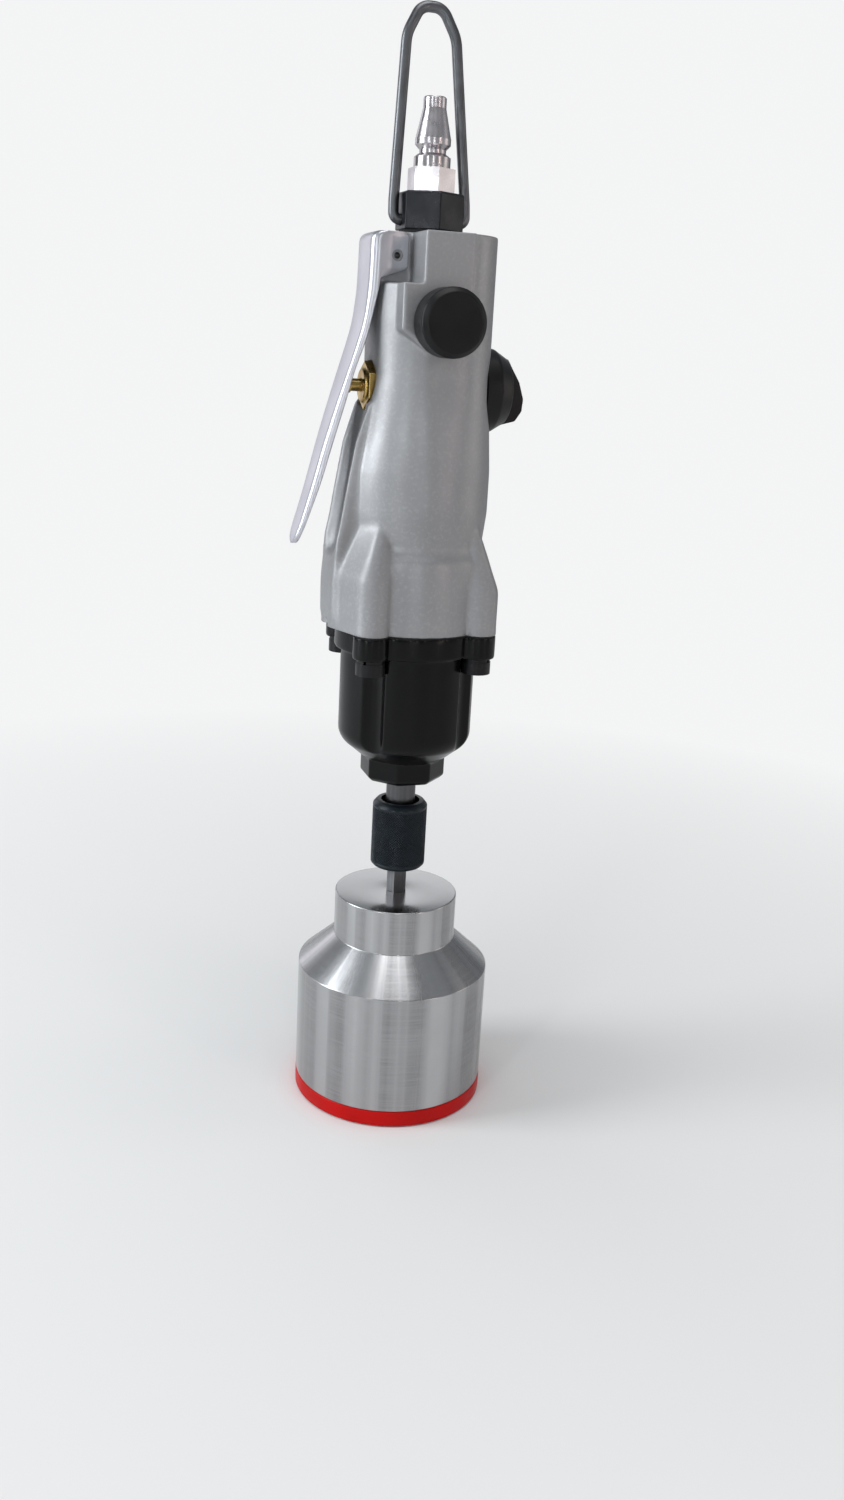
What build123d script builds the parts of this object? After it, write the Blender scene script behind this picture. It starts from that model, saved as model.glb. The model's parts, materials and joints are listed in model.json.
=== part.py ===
"""Air-driven capping machine: a lever-start impact screwdriver with a capping head.

Millimetres. The origin is on the spindle axis in the plane of the mouth that goes
over a cap, +Z runs up the spindle, the start lever is on -X, the direction selector
on +X and the power regulator on -Y.
"""

import os
from math import cos, radians, sin

from build123d import *

# ---- capping head -------------------------------------------------------------
head_radius = 35.2
lip_height = 6.0
shoulder_z = 50.5
hub_radius = 22.4
hub_base_z = 62.0
hub_top_z = 78.5
liner_bore_radius = 27.0
liner_top_z = 26.0
pad_face_z = 25.5
pad_top_z = 31.0
cavity_radius = 31.5
nut_room_radius = 12.0
nut_room_top_z = 50.0
stud_radius = 3.0
shank_flats = 6.35
shank_top_z = 111.0
grip_z = 101.0

# ---- chuck --------------------------------------------------------------------
sleeve_radius = 9.9
sleeve_bottom_z = 89.0
sleeve_top_z = 114.0
chuck_body_radius = 6.2
chuck_collar_radius = 7.7
sleeve_land_radius = 6.25
land_bottom_z = 97.0
land_top_z = 103.0
ball_radius = 1.5
ball_orbit = 4.55
spindle_neck_radius = 5.3

# ---- hammer case --------------------------------------------------------------
nose_bottom_z = 123.0
nose_radius = 15.2
nose_top_z = 131.5
case_round_z = 141.0
case_radius = 23.6
case_floor_z = 146.5
case_cavity_radius = 18.9
flange_bottom_z = 170.8
joint_z = 178.5
gasket_thickness = 0.5
bolt_circle = 26.6
lug_radius = 6.2
bolt_radius = 3.0
bolt_head_radius = 5.0
bolt_head_height = 4.2
washer_thickness = 1.2
bush_outer_radius = 11.0
journal_radius = 7.5

# ---- air motor ----------------------------------------------------------------
housing_bottom_z = joint_z + gasket_thickness
motor_bore_radius = 19.0
liner_fit_radius = 18.95
front_plate_top_z = 186.5
rear_plate_bottom_z = 222.0
rear_plate_top_z = 228.5
rotor_radius = 13.0
chamber_radius = 15.2
chamber_offset = 2.0
shaft_radius = 5.0
vane_count = 5
vane_thickness = 1.9

# ---- motor housing ------------------------------------------------------------
bell_radius = 26.0
barrel_radius = 24.6
bell_top_z = 205.5
column_peak_z = 216.0
barrel_top_z = 232.0
grip_start_z = 262.0
housing_top_z = 306.5
grip_right_x = 21.2
grip_left_x = -18.0
grip_depth = 41.0
grip_corner = 15.5
valve_z = 258.8
valve_bore_radius = 8.0
regulator_z = 279.4
front_pad_y = -22.3
knob_base_x = 19.0
detent_orbit = 10.6
lever_pin_x = -12.85
lever_pin_z = 299.1
lever_half_width = 9.5
lever_half_tip = 6.0
lever_tip_z = 206.8
lever_sheet = 1.8
ear_recess_half = 7.1
ear_recess_x = -7.5
ear_recess_z = 290.8

# ---- inlet, plug and bail -----------------------------------------------------
bush_top_z = 319.0
bush_flats = 19.5
bush_thread_radius = 8.0
plug_flats = 13.5
plug_top_z = 347.3
bail_pivot_z = 310.5
bail_wire_radius = 1.7
bail_crown_z = 374.8
bail_lean = 7.0

LOW = (Align.CENTER, Align.CENTER, Align.MIN)
bolt_spots = [
    (bolt_circle * cos(radians(a)), bolt_circle * sin(radians(a)))
    for a in (45, 135, 225, 315)
]


def turned(*outline, mode=Mode.ADD):
    """Revolves an (r, z) outline about the spindle axis into the open part."""
    with BuildSketch(Plane.XZ) as profile:
        with BuildLine():
            Polyline(*outline, close=True)
        make_face()
    revolve(profile.sketch, axis=Axis.Z, mode=mode)


def rod(radius, start, end, mode=Mode.ADD):
    """Adds or cuts a round bar between two points of the open part."""
    run = Vector(*end) - Vector(*start)
    with BuildSketch(Plane(origin=start, z_dir=run)) as section:
        Circle(radius)
    extrude(section.sketch, amount=run.length, mode=mode)


def tube(outer, inner, start, end):
    """Adds a round tube between two points of the open part."""
    rod(outer, start, end)
    rod(inner, start, end, mode=Mode.SUBTRACT)


def coil(wire_radius, mean_radius, length, turns, plane):
    """Adds a helical compression spring that stands on a plane."""
    start = plane.origin + plane.z_dir * wire_radius
    height = length - 2 * wire_radius
    with BuildLine() as path:
        Helix(height / turns, height, mean_radius, center=start, direction=plane.z_dir)
    with BuildSketch(Plane(origin=path.line @ 0, z_dir=path.line % 0)) as section:
        Circle(wire_radius)
    sweep(section.sketch, path=path.line)


# ==== capping head =============================================================
with BuildPart() as capping_head:
    turned(
        (0, hub_top_z),
        (hub_radius - 0.7, hub_top_z),
        (hub_radius, hub_top_z - 0.7),
        (hub_radius, hub_base_z),
        (head_radius - 0.6, shoulder_z + 0.6),
        (head_radius, shoulder_z - 0.3),
        (head_radius, lip_height),
        (cavity_radius, lip_height),
        (cavity_radius, pad_top_z),
        (nut_room_radius, pad_top_z),
        (nut_room_radius, nut_room_top_z),
        (0, nut_room_top_z),
    )
    Hole(stud_radius + 0.05)

# Red gripping liner: a sleeve inside the cup with a lip that closes the mouth.
with BuildPart() as gripping_liner:
    turned(
        (liner_bore_radius, 0),
        (head_radius - 0.4, 0),
        (head_radius + 0.1, 0.6),
        (head_radius + 0.1, lip_height),
        (cavity_radius - 0.05, lip_height),
        (cavity_radius - 0.05, liner_top_z),
        (liner_bore_radius + 0.5, liner_top_z),
        (liner_bore_radius, pad_face_z),
    )

# Pad that bears on the top of the cap, with a clearance hole for the stud nut.
with BuildPart() as pressure_pad:
    turned(
        (6.0, pad_face_z),
        (liner_bore_radius - 0.5, pad_face_z),
        (liner_bore_radius - 0.5, liner_top_z),
        (cavity_radius - 0.05, liner_top_z),
        (cavity_radius - 0.05, pad_top_z),
        (6.0, pad_top_z),
    )

with BuildPart() as shank_washer:
    tube(6.0, stud_radius + 0.2, (0, 0, nut_room_top_z - 1.2), (0, 0, nut_room_top_z))

shank_nut_top_z = nut_room_top_z - 1.2
with BuildPart() as shank_nut:
    with BuildSketch(Plane.XY.offset(shank_nut_top_z - 5.0)):
        RegularPolygon(10.0 / 2, 6, major_radius=False)
        Circle(stud_radius + 0.02, mode=Mode.SUBTRACT)
    extrude(amount=5.0)

# Quarter-inch hexagon shank with a ball groove, on a stud through the hub.
with BuildPart() as drive_shank:
    with BuildSketch(Plane.XY.offset(hub_top_z)):
        RegularPolygon(shank_flats / 2, 6, major_radius=False)
    extrude(amount=shank_top_z - hub_top_z)
    chamfer(faces().sort_by(Axis.Z)[-1].edges(), 0.5)
    rod(stud_radius, (0, 0, shank_nut_top_z - 6.5), (0, 0, hub_top_z))
    turned(
        (2.75, grip_z - 1.4),
        (5.0, grip_z - 2.4),
        (5.0, grip_z + 2.4),
        (2.75, grip_z + 1.4),
        mode=Mode.SUBTRACT,
    )

# ==== quick-change chuck and anvil =============================================
socket_top_z = shank_top_z + 1.0
anvil_top_z = 169.5
anvil_shoulder_z = 146.0
with BuildPart() as anvil_spindle:
    turned(
        (0, sleeve_bottom_z + 0.4),
        (chuck_body_radius, sleeve_bottom_z + 0.4),
        (chuck_body_radius, 103.5),
        (chuck_collar_radius, 103.5),
        (chuck_collar_radius, 106.5),
        (spindle_neck_radius, 108.5),
        (spindle_neck_radius, nose_bottom_z + 0.3),
        (journal_radius, nose_bottom_z + 1.0),
        (journal_radius, anvil_shoulder_z),
        (9.8, anvil_shoulder_z),
        (9.8, 149.5),
        (9.2, 149.5),
        (9.2, anvil_top_z),
        (0, anvil_top_z),
    )
    with BuildSketch(Plane.XY.offset(sleeve_bottom_z)):
        RegularPolygon((shank_flats + 0.12) / 2, 6, major_radius=False)
    extrude(amount=socket_top_z - sleeve_bottom_z, mode=Mode.SUBTRACT)
    rod(ball_radius + 0.08, (-8, 0, grip_z), (8, 0, grip_z), mode=Mode.SUBTRACT)
    turned(
        (5.6, 90.0), (7.0, 90.0), (7.0, 91.0), (5.6, 91.0), mode=Mode.SUBTRACT
    )
    # Two flanks of the anvil are relieved so that the hammers find a jaw to strike.
    with Locations((9.2, 0, 150.5), (-9.2, 0, 150.5)):
        Box(5.0, 9.0, 30.0, align=LOW, mode=Mode.SUBTRACT)

with BuildPart() as chuck_balls:
    with Locations((ball_orbit, 0, grip_z), (-ball_orbit, 0, grip_z)):
        Sphere(ball_radius)

with BuildPart() as chuck_retaining_ring:
    tube(8.0, 5.65, (0, 0, 90.05), (0, 0, 90.95))
    with Locations((0, 6.5, 89.5)):
        Box(3.0, 5.0, 2.0, align=LOW, mode=Mode.SUBTRACT)

with BuildPart() as chuck_sleeve:
    turned(
        (8.3, sleeve_bottom_z),
        (sleeve_radius - 0.9, sleeve_bottom_z),
        (sleeve_radius, sleeve_bottom_z + 0.9),
        (sleeve_radius, sleeve_top_z - 1.2),
        (sleeve_radius - 1.2, sleeve_top_z),
        (7.0, sleeve_top_z),
        (7.95, sleeve_top_z - 3.0),
        (7.95, land_top_z),
        (sleeve_land_radius, land_top_z),
        (sleeve_land_radius, land_bottom_z),
        (8.3, land_bottom_z),
    )

with BuildPart() as chuck_spring:
    coil(0.5, 7.2, land_bottom_z - 91.1, 3.5, Plane.XY.offset(91.05))

# ==== hammer case ==============================================================
def lug_plate(bottom_z, top_z):
    """The four-lug flange outline that the case and the housing share."""
    with BuildSketch(Plane.XY.offset(bottom_z)) as outline:
        Circle(bell_radius)
        with Locations(*bolt_spots):
            Circle(lug_radius)
        with Locations(*bolt_spots):
            Circle(bolt_radius + 0.15, mode=Mode.SUBTRACT)
    extrude(outline.sketch, amount=top_z - bottom_z)


round_drop = case_round_z - nose_top_z
with BuildPart() as hammer_case:
    with BuildSketch(Plane.XZ):
        with BuildLine():
            Polyline(
                (0, nose_top_z),
                (nose_radius, nose_top_z),
                (case_radius - 3.4, case_round_z - 5.4),
            )
            ThreePointArc(
                (case_radius - 3.4, case_round_z - 5.4),
                (case_radius - 0.9, case_round_z - 2.8),
                (case_radius, case_round_z),
            )
            Polyline(
                (case_radius, case_round_z),
                (case_radius, flange_bottom_z + 1),
                (0, flange_bottom_z + 1),
                (0, nose_top_z),
            )
        make_face()
    revolve(axis=Axis.Z)
    # A flute down to the nose below each lug, so that the bolt heads clear the barrel.
    with BuildSketch(Plane.XY.offset(nose_top_z)):
        with Locations(*bolt_spots):
            Circle(bolt_head_radius + 0.4)
    extrude(amount=flange_bottom_z - nose_top_z, mode=Mode.SUBTRACT)
    lug_plate(flange_bottom_z, joint_z)
    # Eight-sided nose that takes a wrench.
    with BuildSketch(Plane.XY.offset(nose_bottom_z)):
        RegularPolygon(nose_radius, 8, rotation=22.5)
    extrude(amount=nose_top_z - nose_bottom_z + 1)
    chamfer(faces().sort_by(Axis.Z)[0].outer_wire().edges(), 1.6)
    turned(
        (0, case_floor_z),
        (case_cavity_radius, case_floor_z),
        (case_cavity_radius, joint_z + 1),
        (0, joint_z + 1),
        mode=Mode.SUBTRACT,
    )
    rod(bush_outer_radius, (0, 0, nose_bottom_z + 1.6), (0, 0, case_floor_z), mode=Mode.SUBTRACT)
    rod(8.8, (0, 0, nose_bottom_z - 1), (0, 0, nose_bottom_z + 3), mode=Mode.SUBTRACT)

with BuildPart() as nose_seal:
    tube(8.75, journal_radius + 0.1, (0, 0, nose_bottom_z + 0.3), (0, 0, nose_bottom_z + 1.5))

with BuildPart() as nose_bush:
    tube(
        bush_outer_radius,
        journal_radius + 0.05,
        (0, 0, nose_bottom_z + 1.6),
        (0, 0, anvil_shoulder_z - 0.05),
    )

with BuildPart() as flange_gasket:
    with BuildSketch(Plane.XY.offset(joint_z)):
        Circle(bell_radius - 0.3)
        with Locations(*bolt_spots):
            Circle(lug_radius - 0.3)
        with Locations(*bolt_spots):
            Circle(bolt_radius + 0.15, mode=Mode.SUBTRACT)
        Circle(case_cavity_radius, mode=Mode.SUBTRACT)
    extrude(amount=gasket_thickness)

bolt_tip_z = 191.0
head_top_z = flange_bottom_z - washer_thickness
with BuildPart() as case_bolts:
    for x, y in bolt_spots:
        rod(bolt_radius, (x, y, head_top_z), (x, y, bolt_tip_z))
        rod(bolt_head_radius, (x, y, head_top_z - bolt_head_height), (x, y, head_top_z))
    with BuildSketch(Plane.XY.offset(head_top_z - bolt_head_height)):
        with Locations(*bolt_spots):
            RegularPolygon(2.5, 6, major_radius=False)
    extrude(amount=2.6, mode=Mode.SUBTRACT)

with BuildPart() as spring_washers:
    with BuildSketch(Plane.XY.offset(head_top_z)):
        with Locations(*bolt_spots):
            Circle(bolt_head_radius - 0.2)
            Circle(bolt_radius + 0.1, mode=Mode.SUBTRACT)
        with Locations(*[(x * 1.16, y * 1.16) for x, y in bolt_spots]):
            Rectangle(0.8, 3.6, rotation=0, mode=Mode.SUBTRACT)
    extrude(amount=washer_thickness)

# ==== twin-hammer mechanism ====================================================
cage_radius = 18.4
cage_bottom_z = 147.2
cage_top_z = 176.0
pin_orbit = 14.0
hammer_pin_radius = 2.4
with BuildPart() as hammer_cage:
    turned(
        (10.6, cage_bottom_z),
        (cage_radius, cage_bottom_z),
        (cage_radius, cage_bottom_z + 3.3),
        (10.6, cage_bottom_z + 3.3),
    )
    turned(
        (shaft_radius + 0.02, 171.0),
        (cage_radius, 171.0),
        (cage_radius, cage_top_z),
        (shaft_radius + 0.02, cage_top_z),
    )
    with BuildSketch(Plane.XY.offset(cage_bottom_z + 3.3)):
        Circle(cage_radius)
        Circle(16.3, mode=Mode.SUBTRACT)
        Rectangle(2 * cage_radius, 17.0, mode=Mode.INTERSECT)
    extrude(amount=171.0 - cage_bottom_z - 3.3)
    for side in (1, -1):
        rod(
            hammer_pin_radius + 0.03,
            (0, side * pin_orbit, cage_bottom_z + 1),
            (0, side * pin_orbit, cage_top_z - 1),
            mode=Mode.SUBTRACT,
        )

with BuildPart() as hammer_pins:
    for side in (1, -1):
        rod(
            hammer_pin_radius,
            (0, side * pin_orbit, cage_bottom_z + 1.1),
            (0, side * pin_orbit, cage_top_z - 1.1),
        )

with BuildPart() as hammers:
    for index, side in enumerate((1, -1)):
        bottom_z = cage_bottom_z + 3.6 + index * 10.2
        with BuildSketch(Plane.XY.offset(bottom_z)) as ring:
            Circle(15.9)
            Circle(9.7, mode=Mode.SUBTRACT)
            with Locations((0, side * pin_orbit)):
                Circle(hammer_pin_radius + 0.05, mode=Mode.SUBTRACT)
            with Locations((0, -side * pin_orbit)):
                Circle(hammer_pin_radius + 0.8, mode=Mode.SUBTRACT)
        extrude(ring.sketch, amount=9.8)

# ==== vane motor ===============================================================
front_bearing_top_z = housing_bottom_z + 6.1
with BuildPart() as front_end_plate:
    turned(
        (11.02, housing_bottom_z + 0.1),
        (liner_fit_radius, housing_bottom_z + 0.1),
        (liner_fit_radius, front_plate_top_z),
        (shaft_radius + 0.6, front_plate_top_z),
        (shaft_radius + 0.6, front_bearing_top_z),
        (11.02, front_bearing_top_z),
    )


def shielded_bearing(outer, width, bottom_z):
    """A sealed ball bearing: one ring with both shields set back."""
    inner = shaft_radius + 0.03
    turned(
        (inner, bottom_z),
        (inner + 1.2, bottom_z),
        (inner + 1.4, bottom_z + 0.3),
        (outer - 1.4, bottom_z + 0.3),
        (outer - 1.2, bottom_z),
        (outer, bottom_z),
        (outer, bottom_z + width),
        (outer - 1.2, bottom_z + width),
        (outer - 1.4, bottom_z + width - 0.3),
        (inner + 1.4, bottom_z + width - 0.3),
        (inner + 1.2, bottom_z + width),
        (inner, bottom_z + width),
    )


with BuildPart() as front_bearing:
    shielded_bearing(11.0, 6.0, housing_bottom_z + 0.1)

with BuildPart() as rear_bearing:
    shielded_bearing(9.5, 5.0, rear_plate_top_z - 5.0)

dowel_spot = (0, 16.2)
passage_spots = [(12.8, 4), (12.8, -4)]
with BuildPart() as rear_end_plate:
    turned(
        (shaft_radius + 0.6, rear_plate_bottom_z),
        (liner_fit_radius, rear_plate_bottom_z),
        (liner_fit_radius, rear_plate_top_z),
        (9.52, rear_plate_top_z),
        (9.52, rear_plate_top_z - 5.0),
        (shaft_radius + 0.6, rear_plate_top_z - 5.0),
    )
    rod(
        1.02,
        (*dowel_spot, rear_plate_bottom_z),
        (*dowel_spot, rear_plate_bottom_z + 4),
        mode=Mode.SUBTRACT,
    )
    for x, y in passage_spots:
        rod(2.2, (x, y, rear_plate_bottom_z), (x, y, rear_plate_top_z), mode=Mode.SUBTRACT)

with BuildPart() as cylinder_liner:
    with BuildSketch(Plane.XY.offset(front_plate_top_z)):
        Circle(liner_fit_radius)
        with Locations((0, -chamber_offset)):
            Circle(chamber_radius, mode=Mode.SUBTRACT)
    extrude(amount=rear_plate_bottom_z - front_plate_top_z)
    rod(
        1.02,
        (*dowel_spot, rear_plate_bottom_z - 4),
        (*dowel_spot, rear_plate_bottom_z),
        mode=Mode.SUBTRACT,
    )
    # A row of exhaust slots faces the felt ring.
    with Locations(*[(0, -liner_fit_radius, z) for z in (193.5, 197.5, 201.5)]):
        Box(16.0, 8.0, 2.0, mode=Mode.SUBTRACT)

with BuildPart() as cylinder_dowel:
    rod(1.0, (*dowel_spot, rear_plate_bottom_z - 3.8), (*dowel_spot, rear_plate_bottom_z + 3.8))

with BuildPart() as rotor:
    rod(rotor_radius, (0, 0, front_plate_top_z + 0.15), (0, 0, rear_plate_bottom_z - 0.15))
    rod(shaft_radius, (0, 0, 171.2), (0, 0, rear_plate_top_z + 0.2))
    with BuildSketch(Plane.XY.offset(front_plate_top_z)):
        with PolarLocations((rotor_radius + 6.4) / 2, vane_count, start_angle=18):
            Rectangle(rotor_radius - 6.4 + 0.6, vane_thickness + 0.1)
    extrude(amount=rear_plate_bottom_z - front_plate_top_z, mode=Mode.SUBTRACT)

with BuildPart() as rotor_vanes:
    with BuildSketch(Plane.XY.offset(front_plate_top_z + 0.3)):
        with PolarLocations((rotor_radius + 6.3) / 2, vane_count, start_angle=18):
            Rectangle(rotor_radius - 6.7, vane_thickness)
    extrude(amount=rear_plate_bottom_z - front_plate_top_z - 0.6)

with BuildPart() as exhaust_felt:
    tube(20.9, 19.1, (0, 0, 190.5), (0, 0, 204.5))

# ==== motor housing ============================================================
detent_x = knob_base_x - 0.7
grip_center_x = (grip_right_x + grip_left_x) / 2
grip_width = grip_right_x - grip_left_x
rib_half = 9.4
rib_line = [
    (-15.0, 255.0),
    (-20.2, 253.5),
    (-24.3, 240.5),
    (-27.2, 223.7),
    (-29.4, 209.0),
    (-30.6, 194.0),
    (-30.4, 181.5),
    (-15.0, 181.5),
]
flute_radius = 9.6
flute_top = (-26.6, 262.0)
flute_bottom = (-35.3, 210.0)
column_turn_z = 194.0
shoulder_turn_z = 198.0
pad_line = [
    (-14.0, housing_top_z),
    (-14.0, 276.5),
    (-5.5, 270.5),
    (9.0, 270.5),
    (9.0, housing_top_z),
]
ear_relief_line = [
    (-30.0, 281.0),
    (-17.6, 281.0),
    (-16.6, ear_recess_z),
    (ear_recess_x, ear_recess_z),
    (ear_recess_x, housing_top_z + 5),
    (-30.0, housing_top_z + 5),
]


def bolt_column(x, y):
    """A round column over a bolt: upright, then leaning into the barrel."""
    with BuildSketch(Plane.XY.offset(housing_bottom_z)) as foot:
        with Locations((x, y)):
            Circle(lug_radius)
    extrude(foot.sketch, amount=column_turn_z - housing_bottom_z)
    with BuildSketch(Plane.XY.offset(column_turn_z)) as turn:
        with Locations((x, y)):
            Circle(lug_radius)
    with BuildSketch(Plane.XY.offset(column_peak_z)) as peak:
        with Locations((x * 0.8, y * 0.8)):
            Circle(2.4)
    loft([turn.sketch.face(), peak.sketch.face()])


def shoulder_outline(z, column_spot, column_size, rib_spot, rib_size):
    """The outline that joins a bolt column to the valve rib at one height."""
    with BuildSketch(Plane.XY.offset(z)) as outline:
        with Locations(column_spot):
            Circle(column_size)
        with Locations(rib_spot):
            Circle(rib_size)
        make_hull()
    return outline.sketch.face()


with BuildPart() as motor_housing:
    # Grip: the round motor barrel blends into a rounded square handle.
    with BuildSketch(Plane.XY.offset(barrel_top_z)):
        RectangleRounded(2 * barrel_radius, 2 * barrel_radius, barrel_radius - 0.1)
    with BuildSketch(Plane.XY.offset(grip_start_z)):
        with Locations((grip_center_x, 0)):
            RectangleRounded(grip_width, grip_depth, grip_corner)
    loft()
    with BuildSketch(Plane.XY.offset(grip_start_z)):
        with Locations((grip_center_x, 0)):
            RectangleRounded(grip_width, grip_depth, grip_corner)
    extrude(amount=housing_top_z - grip_start_z)
    # Motor barrel and bell.
    turned(
        (0, housing_bottom_z),
        (bell_radius, housing_bottom_z),
        (bell_radius, bell_top_z - 5.0),
        (bell_radius - 0.4, bell_top_z - 2.0),
        (barrel_radius - 0.6, bell_top_z + 0.8),
        (barrel_radius - 1.2, bell_top_z + 2.6),
        (barrel_radius - 0.7, bell_top_z + 7.0),
        (barrel_radius, bell_top_z + 13.0),
        (barrel_radius, barrel_top_z),
        (0, barrel_top_z),
    )
    # Bolt columns, and the shoulders that join two of them to the valve rib.
    for x, y in bolt_spots:
        bolt_column(x, y)
    for x, y in bolt_spots[1:3]:
        side = 1 if y > 0 else -1
        foot = shoulder_outline(housing_bottom_z, (x, y), lug_radius, (-25.2, 4.6 * side), 5.2)
        turn = shoulder_outline(shoulder_turn_z, (x, y), lug_radius, (-25.2, 4.6 * side), 5.2)
        peak = shoulder_outline(column_peak_z, (0.8 * x, 0.8 * y), 2.4, (-19.0, 9.0 * side), 2.4)
        extrude(foot, amount=shoulder_turn_z - housing_bottom_z)
        loft([turn, peak])
    # Valve rib down the lever side, with a long hollow flute in its outer face.
    with BuildSketch(Plane.XZ.offset(-rib_half)) as rib:
        with BuildLine():
            Polyline(*rib_line, close=True)
        make_face()
    extrude(rib.sketch, amount=2 * rib_half)
    flute_ends = [(x, 0, z) for x, z in (flute_top, flute_bottom)]
    rod(flute_radius, *flute_ends, mode=Mode.SUBTRACT)
    with Locations(flute_ends[1]):
        Sphere(flute_radius, mode=Mode.SUBTRACT)
    # Bosses: throttle valve (-X), selector (+X), regulator pad (-Y).
    rod(8.8, (-8, 0, valve_z), (-17.2, 0, valve_z))
    rod(13.4, (8, 0, valve_z), (knob_base_x - 0.3, 0, valve_z))
    rod(14.2, (knob_base_x - 0.3, 0, valve_z), (30.0, 0, valve_z), mode=Mode.SUBTRACT)
    with BuildSketch(Plane.XZ.offset(10.0)) as pad:
        with BuildLine():
            Polyline(*pad_line, close=True)
        make_face()
    extrude(pad.sketch, amount=-front_pad_y - 10.0)
    # Flats that the lever's two ears lie in, with room for its walls just below.
    for side in (1, -1):
        recess_plane = Plane(
            origin=(0, side * ear_recess_half, 0), x_dir=(1, 0, 0), z_dir=(0, side, 0)
        )
        with BuildSketch(recess_plane) as recess:
            with BuildLine():
                Polyline(*[(x, -side * z) for x, z in ear_relief_line], close=True)
            make_face()
        extrude(recess.sketch, amount=20.0, mode=Mode.SUBTRACT)
    # The tongue between the ears is cut back under the lever's curled top.
    with Locations((-16.4, 0, 300.0)):
        Box(10.0, 20.0, 10.0, align=(Align.MAX, Align.CENTER, Align.MIN), mode=Mode.SUBTRACT)
    # Motor bore with the felt groove, then the air chamber above the rear plate.
    turned(
        (0, housing_bottom_z),
        (motor_bore_radius, housing_bottom_z),
        (motor_bore_radius, 190.3),
        (21.0, 190.3),
        (21.0, 204.7),
        (motor_bore_radius, 204.7),
        (motor_bore_radius, rear_plate_top_z),
        (13.0, rear_plate_top_z),
        (13.0, rear_plate_top_z + 2.5),
        (0, rear_plate_top_z + 2.5),
        mode=Mode.SUBTRACT,
    )
    # Bolt holes, cross bore, regulator bore, inlet bore and the two motor passages.
    for x, y in bolt_spots:
        rod(bolt_radius + 0.02, (x, y, housing_bottom_z), (x, y, bolt_tip_z + 1), mode=Mode.SUBTRACT)
    rod(valve_bore_radius, (-30, 0, valve_z), (30, 0, valve_z), mode=Mode.SUBTRACT)
    rod(5.0, (0, -30, regulator_z), (0, 11.5, regulator_z), mode=Mode.SUBTRACT)
    rod(5.5, (0, 0, valve_z), (0, 0, 290.0), mode=Mode.SUBTRACT)
    rod(bush_thread_radius + 0.02, (0, 0, 290.0), (0, 0, housing_top_z + 1), mode=Mode.SUBTRACT)
    for x, y in passage_spots:
        rod(2.2, (x, y, rear_plate_top_z), (x, y, valve_z), mode=Mode.SUBTRACT)
    rod(1.78, (lever_pin_x, -12, lever_pin_z), (lever_pin_x, 12, lever_pin_z), mode=Mode.SUBTRACT)
    # Exhaust slots through the back of the bell, and the selector's detent pocket.
    with Locations(*[(0, bell_radius - 1.0, z) for z in (193.5, 197.5, 201.5)]):
        Box(14.0, 9.5, 2.0, mode=Mode.SUBTRACT)
    pocket_z = valve_z + detent_orbit
    rod(1.55, (detent_x - 5.0, 0, pocket_z), (detent_x + 1.0, 0, pocket_z), mode=Mode.SUBTRACT)

# ==== start lever ==============================================================
lever_web = [
    (-21.2, 300.0),
    (-21.5, 288.5),
    (-22.5, 278.5),
    (-26.1, 266.5),
    (-29.8, 255.0),
    (-33.9, 241.0),
    (-38.0, 225.0),
    (-41.4, 213.0),
    (-43.6, lever_tip_z),
]
lever_edge = [
    (-41.6, lever_tip_z + 0.8),
    (-40.7, 210.5),
    (-37.9, 217.7),
    (-34.5, 228.0),
    (-31.6, 239.0),
    (-27.4, 254.0),
    (-24.6, 265.0),
    (-21.6, 273.0),
    (-19.7, 282.0),
    (-17.9, 290.5),
]
ear_line = [
    (-17.9, 290.5),
    (-17.4, 292.3),
    (-10.3, 294.9),
    (-9.3, 296.2),
    (-9.3, 305.2),
    (-10.3, 306.2),
    (-18.2, 306.2),
]
lever_reach = 60.0


def within_lever_front(inset):
    """Keeps what lies inside the lever's outline seen from the grip, less an inset."""
    wide, narrow = lever_half_width - inset, lever_half_tip - inset
    with BuildSketch(Plane.YZ) as front:
        with BuildLine():
            Line((-wide, ear_recess_z), (-wide, housing_top_z + 5))
            Line((-wide, housing_top_z + 5), (wide, housing_top_z + 5))
            Line((wide, housing_top_z + 5), (wide, ear_recess_z))
            Line((wide, ear_recess_z), (narrow, lever_tip_z + narrow))
            ThreePointArc(
                (narrow, lever_tip_z + narrow), (0, lever_tip_z), (-narrow, lever_tip_z + narrow)
            )
            Line((-narrow, lever_tip_z + narrow), (-wide, ear_recess_z))
        make_face()
    extrude(front.sketch, amount=lever_reach, both=True, mode=Mode.INTERSECT)


with BuildPart() as lever_channel:
    with BuildSketch(Plane.XZ) as hollow:
        with BuildLine():
            Spline(*[(x + lever_sheet, z) for x, z in lever_web])
            Polyline(
                (-43.6 + lever_sheet, lever_tip_z),
                (0, lever_tip_z - 5),
                (0, housing_top_z + 5),
                (-16.9, housing_top_z + 5),
                (-16.9, 304.5),
            )
            ThreePointArc((-16.9, 304.5), (-18.7, 303.3), (-21.2 + lever_sheet, 300.0))
        make_face()
    extrude(hollow.sketch, amount=lever_half_width, both=True)
    within_lever_front(lever_sheet)

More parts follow.
